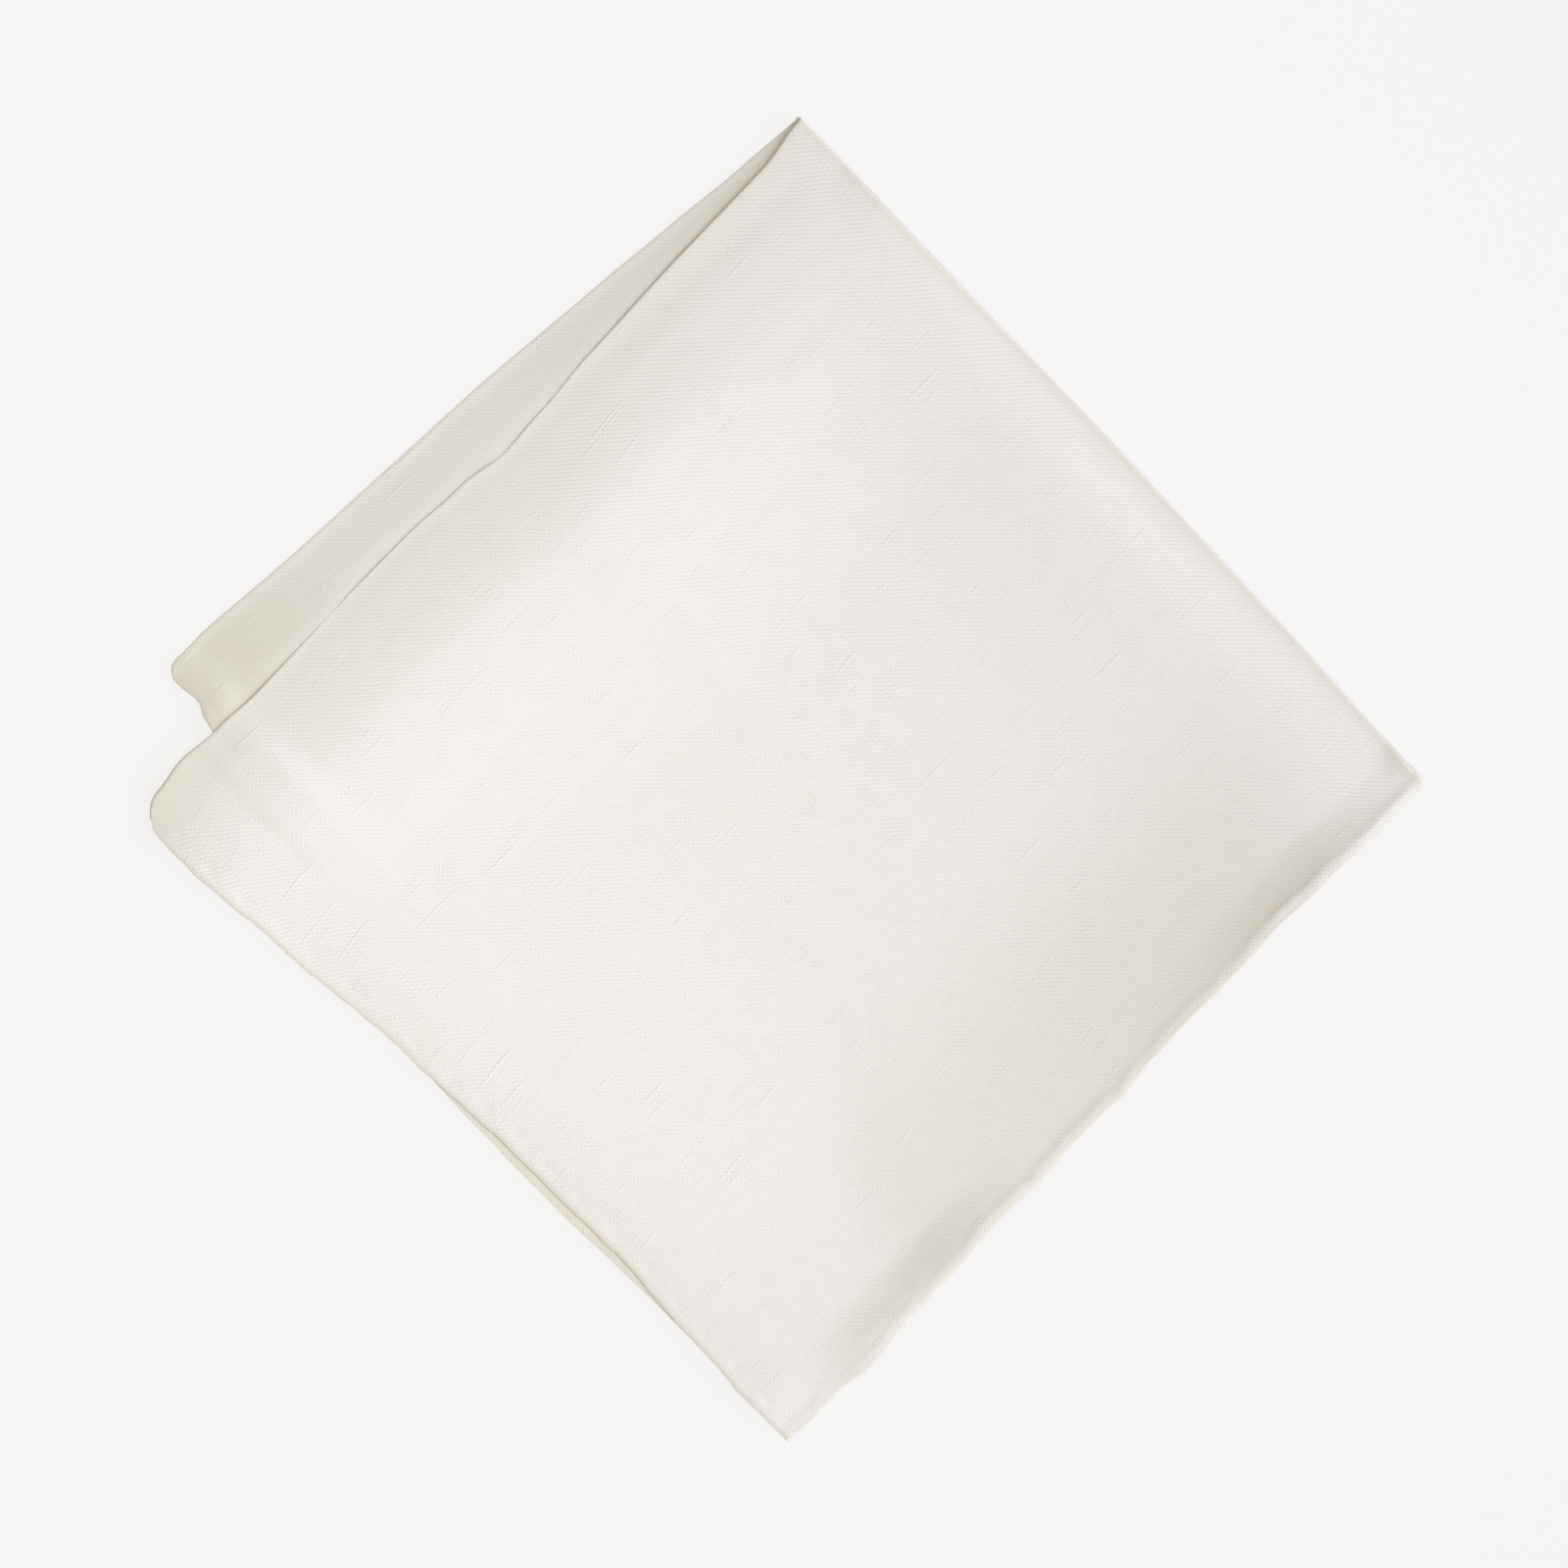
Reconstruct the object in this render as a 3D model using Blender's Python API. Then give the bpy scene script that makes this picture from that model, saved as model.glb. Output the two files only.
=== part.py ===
# A pocket square of fine linen, folded in quarters and lying flat.
#
# The square is folded twice. The first fold runs along the +Y edge and the second along the +X edge,
# so the cloth's centre is the corner between them and its hems lie at -X and -Y. The second crease is
# a little askew and off the middle: the lower pair of layers is shorter, and its folded edge fans out
# past the upper pair's at +Y. Layers from the top down: top, under, over, base.
#
# All sizes below are in millimetres, on the plan seen from above; the mesh is written in metres.
import bmesh
import bpy
import numpy as np

MM = 0.001

# The cloth as a solid sheet
THICKNESS = 1.0            # one layer of cloth
GAP = 0.4                  # air between two layers that lie together
HEM_WIDTH = 2.8            # width of the rolled hem
HEM_THICKNESS = 1.2        # the roll at its fullest
HEM_SHOULDER = 1.1         # the roll near its outer face
HEM_EDGE = 0.6             # height of the roll's outer face

SIDE_LENGTH = 168.0        # a folded side, hem to fold

# Plan of the folded cloth: corners (x, y) of each layer's outline.
# centre: where the folds meet. fold_end: where the first fold meets the hem.
# free: the cloth's own corner. crease_end: where the second crease meets the hem.
LAYERS = {
    "top":   dict(centre=(88.0, 85.0), fold_end=(-87.1, 78.8), free=(-86.4, -86.6), crease_end=(83.0, -82.0)),
    "under": dict(centre=(88.0, 85.0), fold_end=(-87.1, 78.8), free=(-86.2, -86.2), crease_end=(82.8, -83.8)),
    "over":  dict(centre=(88.0, 85.4), fold_end=(-65.6, 94.8), free=(-75.6, -76.6), crease_end=(82.8, -81.4)),
    "base":  dict(centre=(88.0, 85.4), fold_end=(-65.6, 94.8), free=(-74.8, -75.4), crease_end=(83.0, -80.2)),
}

# How far each side swells out from the straight line between its corners:
# (part of the way along from the first corner named, outward swell).
CREASE_SWELL = [(0.0, 0.0), (0.2, 0.3), (0.5, 0.9), (0.75, 0.7), (1.0, 0.0)]
UPPER_FOLD_SWELL = [(0.0, 0.0), (0.06, -1.2), (0.33, -1.3), (0.45, -2.2), (0.56, -0.3), (0.66, 0.7),
                    (0.82, 0.6), (0.92, 1.8), (1.0, 0.0)]
LOWER_FOLD_SWELL = [(0.0, 0.0), (0.1, 0.2), (0.3, 1.3), (0.5, 1.9), (0.8, 1.2), (0.93, 1.3), (1.0, 0.0)]
SIDE_HEM_SWELL = {         # from fold_end to free
    "top":   [(0.0, 0.0), (0.07, 0.8), (0.2, -0.5), (0.38, -2.4), (0.55, -3.4), (0.72, -3.5), (0.86, -0.9),
              (1.0, 0.0)],
    "under": [(0.0, 0.0), (0.12, -0.6), (0.38, -2.9), (0.5, -1.7), (0.8, -1.2), (0.9, -0.8), (1.0, 0.0)],
    "over":  [(0.0, 0.0), (0.03, 0.0), (0.08, 1.3), (0.16, 0.6), (0.4, -0.4), (0.7, 0.4), (1.0, 0.0)],
    "base":  [(0.0, 0.0), (0.04, -0.4), (0.1, 0.4), (0.5, -0.8), (1.0, 0.0)],
}
END_HEM_SWELL = {          # from crease_end to free
    "top":   [(0.0, 0.0), (0.07, -0.6), (0.15, -0.9), (0.3, -0.3), (0.42, -0.3), (0.52, 0.6), (0.68, 0.2),
              (0.78, 0.7), (0.88, 1.2), (0.95, 0.3), (1.0, 0.0)],
    "under": [(0.0, 0.0), (0.07, 0.2), (0.15, -0.8), (0.25, -1.2), (0.5, -0.6), (0.8, -0.4), (1.0, 0.0)],
    "over":  [(0.0, 0.0), (0.25, 0.4), (0.5, -0.3), (0.75, 1.5), (0.9, 0.9), (1.0, 0.0)],
    "base":  [(0.0, 0.0), (0.3, -0.4), (0.6, 0.2), (0.85, 1.0), (1.0, 0.0)],
}

# From a fold's line to its outer edge
CREASE_REACH = 2.6
UPPER_FOLD_REACH = 1.5
LOWER_FOLD_REACH = 1.4

# Where the layers lie
ROLL_GAP = 1.5 * (HEM_THICKNESS - THICKNESS)     # extra between two layers whose hems lie on each other
ROLL_END = 10.0            # this far in from the hems that has died away
CREASE_OPEN = 0.12         # extra opening of the second crease between each two layers
CREASE_OPEN_START = 4.0
CREASE_OPEN_END = 24.0
STEP_START = 1.5           # past the lower pair's hidden hems the upper pair steps down from here
STEP_LENGTH = 16.0
HOVER = 0.4                # how far over the surface it stays

# The cloth is springy, so all four sides of the pile stand higher than its middle. Each side has a
# section, (distance in from the side, height over the field), and a share of it along the side,
# (part of the way along, share).
FIELD = 3.3                # height of the top layer's middle in the field
ROUNDNESS = 3.0            # how two sides meet: 1 adds their heights, more leaves only the higher
BLEND = 0.5                # how softly the top layer comes to lie on the one beneath
FOLD_SECTION = [(0.0, 0.5), (5.0, 1.8), (13.0, 2.6), (21.0, 2.7), (32.0, 2.25), (48.0, 1.0), (66.0, 0.0)]
FOLD_SHARE = [(0.0, 0.66), (0.25, 0.72), (0.5, 0.95), (0.7, 1.0), (1.0, 0.9)]          # centre to fold_end
SIDE_SECTION = [(0.0, 1.75), (8.0, 2.1), (16.0, 1.9), (30.0, 1.2), (45.0, 0.4), (60.0, 0.0)]
SIDE_SHARE = [(0.0, 0.9), (0.35, 1.0), (0.6, 0.6), (0.85, 0.4), (1.0, 0.0)]            # fold_end to free
END_SECTION = [(0.0, 3.6), (8.0, 3.1), (14.0, 2.5), (20.0, 1.8), (28.0, 0.95), (38.0, 0.25), (48.0, 0.0)]
END_SHARE = [(0.0, 0.3), (0.12, 0.85), (0.2, 1.0), (0.6, 1.0), (0.7, 0.65), (0.8, 0.35), (1.0, 0.0)]
CREASE_SECTION = [(0.0, -0.6), (5.0, -0.2), (12.0, 0.35), (20.0, 0.55), (32.0, 0.3), (48.0, 0.0)]
CREASE_SHARE = [(0.0, 0.0), (0.25, 0.3), (0.45, 1.0), (1.0, 1.3)]                      # centre to crease_end
# The lower pair's first fold: how much further apart its two layers lie
LOWER_FOLD_SECTION = [(0.0, 0.0), (5.0, 0.6), (14.0, 1.05), (22.0, 1.1), (38.0, 0.6), (55.0, 0.0)]
LOWER_FOLD_SHARE = [(0.0, 0.2), (0.1, 0.7), (0.25, 1.0), (0.6, 1.0), (0.8, 1.25), (1.0, 1.35)]

# Rows of the mesh
FIELD_ROWS = 18            # between a fold and its hem
FIELD_CROWDING = 0.45      # 0 is even rows; towards 1 they crowd at both ends
CREASE_FACES = 8           # faces around the second crease
FOLD_FACES = 7             # faces around the first fold
HEM_ROWS = [               # inset from the hem's edge, thickness there
    (0.0, HEM_EDGE),
    (0.18 * HEM_WIDTH, HEM_SHOULDER),
    (0.5 * HEM_WIDTH, HEM_THICKNESS),
    (HEM_WIDTH, THICKNESS),
]
FLOOR_BAND = 0.12          # an underside this near the floor lies flat on it


def smooth(value, start, end):
    """0 before start, 1 after end, with an even S between them."""
    t = np.clip((value - start) / (end - start), 0.0, 1.0)
    return t * t * (3.0 - 2.0 * t)


def read_swell(table, along):
    """Swell at each place along a side, eased between the table's rows."""
    places = np.array([row[0] for row in table])
    swells = np.array([row[1] for row in table])
    index = np.clip(np.searchsorted(places, along, side="right") - 1, 0, len(table) - 2)
    start, end = places[index], places[index + 1]
    return swells[index] + (swells[index + 1] - swells[index]) * smooth(along, start, end)


def read_curve(table, place):
    """A smooth curve through the table's rows, level past its ends."""
    places = np.array([row[0] for row in table])
    sizes = np.array([row[1] for row in table])
    slopes = np.gradient(sizes, places)
    slopes[-1] = 0.0
    place = np.clip(place, places[0], places[-1])
    index = np.clip(np.searchsorted(places, place, side="right") - 1, 0, len(table) - 2)
    span = places[index + 1] - places[index]
    t = (place - places[index]) / span
    start = sizes[index] * (1 + 2 * t) + slopes[index] * span * t
    end = sizes[index + 1] * (3 - 2 * t) + slopes[index + 1] * span * (t - 1)
    return start * (1 - t) ** 2 + end * t ** 2


def part_way(value, start, end):
    """How far along from start to end a value is, from 0 to 1."""
    return np.clip((value - start) / (end - start), 0.0, 1.0)


def between(first, second, weight):
    """First at weight 1, second at weight -1."""
    return first * (1 + weight) / 2 + second * (1 - weight) / 2


def side_curve(start, end, swell, outward, along):
    """Points of one side of a layer, from start to end, moved outward by its swell."""
    start, end = np.array(start), np.array(end)
    points = start + (end - start) * along[:, None]
    return points + np.array(outward) * read_swell(swell, along)[:, None]


def layer_plan(name, upper, from_crease, from_fold):
    """Plan places of one layer: a patch stretched between its two folds and its two hems."""
    corner = LAYERS[name]
    fold_swell = UPPER_FOLD_SWELL if upper else LOWER_FOLD_SWELL
    inset = np.array((-CREASE_REACH, -UPPER_FOLD_REACH if upper else -LOWER_FOLD_REACH))
    centre = np.array(corner["centre"]) + inset
    fold_end = np.array(corner["fold_end"]) + inset * (0, 1)
    crease_end = np.array(corner["crease_end"]) + inset * (1, 0)
    free = np.array(corner["free"])
    crease = side_curve(centre, crease_end, CREASE_SWELL, (1, 0), from_fold)
    fold = side_curve(centre, fold_end, fold_swell, (0, 1), from_crease)
    side_hem = side_curve(fold_end, free, SIDE_HEM_SWELL[name], (-1, 0), from_fold)
    end_hem = side_curve(crease_end, free, END_HEM_SWELL[name], (0, -1), from_crease)
    a, b = from_crease[:, None, None], from_fold[None, :, None]
    across = (1 - a) * crease[None] + a * side_hem[None]
    down = (1 - b) * fold[:, None] + b * end_hem[:, None]
    corners = (1 - b) * ((1 - a) * centre + a * fold_end) + b * ((1 - a) * crease_end + a * free)
    return across + down - corners


def hem_distance(names, x, y):
    """How far in from the named layers' side and end hems a place is; below 0 is past them."""
    side, end = [], []
    for name in names:
        corner = LAYERS[name]
        (ex, ey), (fx, fy), (cx, cy) = corner["fold_end"], corner["free"], corner["crease_end"]
        down = part_way(y, ey, fy)
        side.append(x - ex - (fx - ex) * down + read_swell(SIDE_HEM_SWELL[name], down))
        back = part_way(x, cx, fx)
        end.append(y - cy - (fy - cy) * back + read_swell(END_HEM_SWELL[name], back))
    return side, end


def roll_lift(side, end):
    """1 at the hems of a pair of layers, dying away inwards."""
    nearest = np.minimum(np.minimum(*side), np.minimum(*end))
    return 1 - smooth(nearest, HEM_WIDTH, ROLL_END)


def fold_line_y(upper, x):
    """Where a pair's first fold runs, as y for a given x."""
    corner = LAYERS["top" if upper else "base"]
    swell = UPPER_FOLD_SWELL if upper else LOWER_FOLD_SWELL
    (cx, cy), (ex, ey) = corner["centre"], corner["fold_end"]
    along = part_way(x, cx, ex)
    return cy + (ey - cy) * along + read_swell(swell, along)


def crease_line_x(y):
    """Where the second crease runs, as x for a given y."""
    (cx, cy), (ex, ey) = LAYERS["top"]["centre"], LAYERS["top"]["crease_end"]
    along = part_way(y, cy, ey)
    return cx + (ex - cx) * along + read_swell(CREASE_SWELL, along)


def top_surface(x, y, side, end):
    """Height that the top layer's middle springs up to, given the distances in from its hems."""
    corner = LAYERS["top"]
    back = part_way(x, corner["centre"][0], corner["fold_end"][0])
    down = part_way(y, corner["centre"][1], corner["free"][1])
    ridges = (
        read_curve(FOLD_SECTION, fold_line_y(True, x) - y) * read_curve(FOLD_SHARE, back),
        read_curve(SIDE_SECTION, np.minimum(*side)) * read_curve(SIDE_SHARE, down),
        read_curve(END_SECTION, np.minimum(*end)) * read_curve(END_SHARE, back),
    )
    risen = sum(np.maximum(ridge, 0.0) ** ROUNDNESS for ridge in ridges) ** (1 / ROUNDNESS)
    crease = read_curve(CREASE_SECTION, crease_line_x(y) - x) * read_curve(CREASE_SHARE, down)
    return FIELD + risen + crease


def layer_heights(x, y):
    """Heights of the four layers' middles above the surface, top, under, over, base."""
    low_side, low_end = hem_distance(("over", "base"), x, y)
    up_side, up_end = hem_distance(("top", "under"), x, y)
    crease_open = CREASE_OPEN * (1 - smooth(crease_line_x(y) - x, CREASE_OPEN_START, CREASE_OPEN_END))
    step = THICKNESS + GAP + crease_open
    base = np.full_like(x, THICKNESS / 2)
    corner = LAYERS["base"]
    fold_share = read_curve(LOWER_FOLD_SHARE, part_way(x, corner["centre"][0], corner["fold_end"][0]))
    fold_open = read_curve(LOWER_FOLD_SECTION, fold_line_y(False, x) - y) * fold_share
    over = base + step + ROLL_GAP * roll_lift(low_side, low_end) + fold_open
    # The upper pair lies on the lower one and steps down past its hems
    step_end = -STEP_START - STEP_LENGTH
    covered = smooth(np.maximum(*low_side), step_end, -STEP_START)
    covered = covered * smooth(np.maximum(*low_end), step_end, -STEP_START)
    lowest = THICKNESS / 2 + HOVER
    lying = over + step + (HEM_THICKNESS - THICKNESS) * roll_lift(low_side, low_end)
    under = lowest + covered * (lying - lowest)
    least = under + step + ROLL_GAP * roll_lift(up_side, up_end)
    wanted = top_surface(x, y, up_side, up_end)
    top = (least + wanted + np.sqrt((least - wanted) ** 2 + BLEND ** 2)) / 2
    return top, under, over, base


def crease_reach(y):
    """From the second crease's line to its outer edge, for a given y."""
    top, _, _, base = layer_heights(crease_line_x(y) - CREASE_REACH, y)
    return (top - base + THICKNESS) / 2


def row_places(arc_faces):
    """Rows from one hem over a fold to the other hem: place from fold to hem, fold angle, hem inset."""
    even = np.linspace(0.0, 1.0, FIELD_ROWS + 1)
    field = even - FIELD_CROWDING * np.sin(2 * np.pi * even) / (2 * np.pi)
    inner = [(place, None) for place in field[:-1]]
    hem = [(1.0, inset) for inset, _ in reversed(HEM_ROWS)]
    half = inner + hem
    quarter = np.pi / 2
    rows = [(place, quarter, inset) for place, inset in reversed(half)]
    rows += [(0.0, angle, None) for angle in np.linspace(quarter, -quarter, arc_faces + 1)[1:-1]]
    rows += [(place, -quarter, inset) for place, inset in half]
    return rows


def row_parts(rows):
    """Arrays of the rows' places, fold angles and distances from the hem."""
    field = 1.0 - HEM_WIDTH / SIDE_LENGTH
    places = np.array([
        place * field if inset is None else 1.0 - inset / SIDE_LENGTH
        for place, _, inset in rows])
    angles = np.array([angle for _, angle, _ in rows])
    return places, angles, (1.0 - places) * SIDE_LENGTH


def build_cloth():
    """The folded sheet as one closed solid."""
    crease_rows, fold_rows = row_places(CREASE_FACES), row_places(FOLD_FACES)
    from_crease, crease_angle, side_inset = row_parts(crease_rows)
    from_fold, fold_angle, end_inset = row_parts(fold_rows)
    plans = {name: layer_plan(name, name in ("top", "under"), from_crease, from_fold) for name in LAYERS}
    heights = {}
    for index, name in enumerate(LAYERS):
        heights[name] = layer_heights(plans[name][..., 0], plans[name][..., 1])[index]

    # Half thickness: the rolled hem along the nearer hem
    inset = np.minimum(side_inset[:, None], end_inset[None, :])
    half = np.interp(inset, [row[0] for row in HEM_ROWS], [row[1] / 2 for row in HEM_ROWS])
    swelling = np.maximum(half - THICKNESS / 2, 0.0)
    heights["base"] = heights["base"] + swelling
    heights["under"] = heights["under"] + swelling

    # Around the folds: outer is +1 on top and base, -1 on under and over; front is +1 on the upper pair
    outer = np.sin(fold_angle)[None, :]
    front = np.sin(crease_angle)[:, None]

    upper_z = between(heights["top"], heights["under"], outer)
    lower_z = between(heights["base"], heights["over"], outer)
    z = between(upper_z, lower_z, front)
    outer2, front2 = outer[..., None], front[..., None]
    upper_plan = between(plans["top"], plans["under"], outer2)
    lower_plan = between(plans["base"], plans["over"], outer2)
    plan = between(upper_plan, lower_plan, front2)
    crease_radius = (upper_z - lower_z) / 2
    # Where the stack is thicker the crease's line sits further in, so that its outer edge runs true
    plan[..., 0] -= (crease_reach(plan[..., 1]) - CREASE_REACH) * (1 - from_crease[:, None]) ** 2
    fold_radius = between(heights["top"] - heights["under"], heights["over"] - heights["base"], front) / 2
    x = plan[..., 0] + crease_radius * np.cos(crease_angle)[:, None]
    y = plan[..., 1] + fold_radius * np.cos(fold_angle)[None, :]
    middle = np.stack([x, y, z], axis=-1)

    along = np.gradient(middle, axis=0)
    across = np.gradient(middle, axis=1)
    normal = np.cross(along, across)
    normal /= np.linalg.norm(normal, axis=-1, keepdims=True)
    faces = (middle + normal * half[..., None], middle - normal * half[..., None])
    return [np.where(face[..., 2:] < FLOOR_BAND, face * (1, 1, 0), face) for face in faces]


def cloth_mesh(outer_face, inner_face):
    """Mesh of the closed sheet: two grids joined around their rim."""
    low = np.minimum(outer_face.min(axis=(0, 1)), inner_face.min(axis=(0, 1)))
    high = np.maximum(outer_face.max(axis=(0, 1)), inner_face.max(axis=(0, 1)))
    shift = np.array([(low[0] + high[0]) / 2, (low[1] + high[1]) / 2, 0.0])
    mesh = bmesh.new()
    rows, columns = outer_face.shape[:2]
    grids = []
    for face in (outer_face, inner_face):
        places = (face - shift) * MM
        grids.append([[mesh.verts.new(places[i, j]) for j in range(columns)] for i in range(rows)])
    for i in range(rows - 1):
        for j in range(columns - 1):
            for grid in grids:
                mesh.faces.new((grid[i][j], grid[i + 1][j], grid[i + 1][j + 1], grid[i][j + 1]))
    rim = [(i, 0) for i in range(rows - 1)] + [(rows - 1, j) for j in range(columns - 1)]
    rim += [(i, columns - 1) for i in range(rows - 1, 0, -1)] + [(0, j) for j in range(columns - 1, 0, -1)]
    for (i, j), (k, m) in zip(rim, rim[1:] + rim[:1]):
        mesh.faces.new((grids[0][i][j], grids[0][k][m], grids[1][k][m], grids[1][i][j]))
    bmesh.ops.triangulate(mesh, faces=mesh.faces[:])
    bmesh.ops.recalc_face_normals(mesh, faces=mesh.faces[:])
    data = bpy.data.meshes.new("cloth")
    mesh.to_mesh(data)
    mesh.free()
    return data


def linen():
    """Off-white linen."""
    material = bpy.data.materials.new("linen")
    material.use_nodes = True
    shader = material.node_tree.nodes["Principled BSDF"]
    shader.inputs["Base Color"].default_value = (0.80, 0.77, 0.70, 1.0)
    shader.inputs["Roughness"].default_value = 0.85
    shader.inputs["Metallic"].default_value = 0.0
    return material


def main():
    for item in list(bpy.data.objects):
        bpy.data.objects.remove(item)
    cloth = bpy.data.objects.new("cloth", cloth_mesh(*build_cloth()))
    cloth.data.materials.append(linen())
    cloth.data.shade_smooth()
    bpy.context.scene.collection.objects.link(cloth)


main()
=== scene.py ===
import math

import bpy
import numpy as np
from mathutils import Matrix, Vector


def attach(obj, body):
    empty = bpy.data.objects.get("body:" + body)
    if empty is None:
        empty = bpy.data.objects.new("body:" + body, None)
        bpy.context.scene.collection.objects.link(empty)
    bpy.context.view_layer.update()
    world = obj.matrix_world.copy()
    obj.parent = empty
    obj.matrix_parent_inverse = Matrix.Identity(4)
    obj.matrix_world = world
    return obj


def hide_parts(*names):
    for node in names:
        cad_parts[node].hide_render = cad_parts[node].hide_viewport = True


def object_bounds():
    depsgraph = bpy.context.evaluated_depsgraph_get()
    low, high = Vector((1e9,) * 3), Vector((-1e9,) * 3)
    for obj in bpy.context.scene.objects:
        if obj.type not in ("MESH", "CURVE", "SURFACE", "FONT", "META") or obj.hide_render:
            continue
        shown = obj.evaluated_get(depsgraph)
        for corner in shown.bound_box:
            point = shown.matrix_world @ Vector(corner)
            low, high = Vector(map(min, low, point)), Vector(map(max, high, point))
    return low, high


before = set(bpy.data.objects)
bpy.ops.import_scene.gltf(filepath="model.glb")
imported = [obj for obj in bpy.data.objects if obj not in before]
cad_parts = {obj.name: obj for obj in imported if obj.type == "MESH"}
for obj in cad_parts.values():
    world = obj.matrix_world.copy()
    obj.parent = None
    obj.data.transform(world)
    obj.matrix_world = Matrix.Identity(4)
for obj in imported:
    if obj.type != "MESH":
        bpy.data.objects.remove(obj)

bpy.ops.object.select_all(action="DESELECT")
mm = 0.001
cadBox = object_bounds()
boxLow, boxHigh = [Vector(corner) for corner in cadBox]
boxMiddle = (boxLow + boxHigh) / 2
ground = Vector((boxMiddle.x, boxMiddle.y, boxLow.z))

# Plan sizes are in millimetres. The square is folded twice: first along +Y, then along +X, so the
# middle of the cloth is the corner between the folds. Layers from the top down: top, under, over, base.

cloth = dict(
    cutSide=330.0,             # the square before it was folded
    foldedSide=168.0,          # hem to fold
    thickness=0.4,
    topHalfRows=138, lowHalfRows=46,     # rows between fold and hem
    topCrowding=0.35, lowCrowding=0.8,   # rows crowd towards fold and hem
    creaseFaces=14, foldFaces=12,        # round each fold
)

# Corners of each layer's outline, x and y
corners = dict(
    top=dict(centre=(88.2, 85.2), foldEnd=(-89.3, 79.5), free=(-86.6, -86.8), creaseEnd=(82.8, -84.3)),
    under=dict(centre=(88.2, 85.2), foldEnd=(-89.3, 79.5), free=(-86.3, -86.4), creaseEnd=(82.8, -83.7)),
    over=dict(centre=(88.2, 85.6), foldEnd=(-67.6, 95.4), free=(-75.6, -76.6), creaseEnd=(82.9, -81.4)),
    base=dict(centre=(88.2, 85.6), foldEnd=(-67.6, 95.4), free=(-74.8, -75.4), creaseEnd=(83.1, -80.2)),
)

# Outward swell of each side between its corners: part of the way along, millimetres
swells = dict(
    crease=[(0, 0), (0.2, 0.3), (0.5, 0.9), (0.75, 0.7), (1, 0)],
    upperFold=[(0, 0), (0.06, -1.2), (0.2, -1.0), (0.33, -1.3), (0.4, -2.0), (0.46, -2.4),
               (0.52, -0.7), (0.6, 0.4), (0.68, 0.7), (0.82, 0.6), (0.88, 1.3), (0.93, 2.3),
               (0.97, 1.5), (1, 0)],
    lowerFold=[(0, 0), (0.1, 0.2), (0.2, 0.8), (0.3, 1.3), (0.5, 1.9), (0.62, 1.6), (0.8, 1.2),
               (0.93, 1.5), (0.98, 0.8), (1, 0)],
    topSide=[(0, 0), (0.04, 0.7), (0.08, 0.8), (0.2, -0.5), (0.38, -2.4), (0.55, -3.1),
             (0.72, -2.9), (0.84, -1.3), (0.93, -0.3), (1, 0)],
    underSide=[(0, 0), (0.12, -0.6), (0.38, -2.9), (0.5, -1.7), (0.66, -1.1), (0.8, -1.2),
               (0.9, -0.8), (1, 0)],
    overSide=[(0, 0), (0.02, -0.4), (0.045, -1.0), (0.065, 0.1), (0.09, 1.3), (0.16, 0.6),
              (0.4, -0.4), (0.7, 0.4), (1, 0)],
    baseSide=[(0, 0), (0.02, -0.6), (0.045, -1.3), (0.1, 0.2), (0.5, -0.8), (1, 0)],
    topEnd=[(0, 0), (0.03, 0.1), (0.07, -0.1), (0.15, -1.1), (0.22, -1.6), (0.3, -1.3),
            (0.36, -1.4), (0.42, -1.15), (0.47, -0.4), (0.53, -0.7), (0.6, -0.25), (0.68, -0.55),
            (0.74, 0.15), (0.8, 0.2), (0.88, 1.15), (0.93, 0.15), (0.97, 0.3), (1, 0)],
    underEnd=[(0, 0), (0.07, 0.1), (0.15, -0.9), (0.25, -1.35), (0.36, -1.2), (0.5, -0.65),
              (0.8, -0.35), (1, 0)],
    overEnd=[(0, 0), (0.25, 0.4), (0.5, -0.3), (0.75, 1.5), (0.9, 0.9), (1, 0)],
    baseEnd=[(0, 0), (0.3, -0.4), (0.6, 0.2), (0.85, 1.0), (1, 0)],
)

hem = dict(
    width=2.6, bead=0.4,       # the cloth's edge is rolled to its wrong side
    beadPlace=0.35,            # part of the width where the roll is fullest
    edgeDrop=0.12, edgeReach=0.7,      # its right side rounds off at the very edge
    sidePuff=0.03, endPuff=0.16, puffWidth=3.4,       # and swells over the roll
    puffShare=[(0, 0.3), (25, 0.5), (45, 1), (115, 1), (145, 1.7), (170, 1.7)],    # along the end hem
    rows=(0, 0.1, 0.25, 0.5, 0.85, 1.2, 1.55, 1.9, 2.25, 2.6, 3.1, 3.8),    # mesh rows, distance in
    lowRows=(0, 0.3, 0.75, 1.4, 2.1, 2.6, 3.2),
    unevenness=0.16,           # how much the roll's size varies
    rollWaves=((0.61, 0, 0, 0, 0.5), (0.233, 1, 0, 0, 0.5),      # rate, start, drift, its rate, share
               (1.37, 0, 2.1, 0.31, 0.4)),
    sideWobble=0.10, endWobble=0.12,          # how far the hem's line strays
    wobbleWaves=((7, 0.5), (13, 0.6), (22, 0.5), (37, 0.35)),    # waves along the hem, share
    wobbleDrift=1.7, driftRate=0.775,         # the waves drift, at this part of their own rate
    wobbleFade=0.04,           # part of the hem, at each of its ends
    layerSeed=2.3,             # each layer's waves start elsewhere
    stitchPitch=8.4, stitchDepth=0.1, stitchInset=2.5, stitchLength=1.1, stitchWidth=0.8,
)

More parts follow.
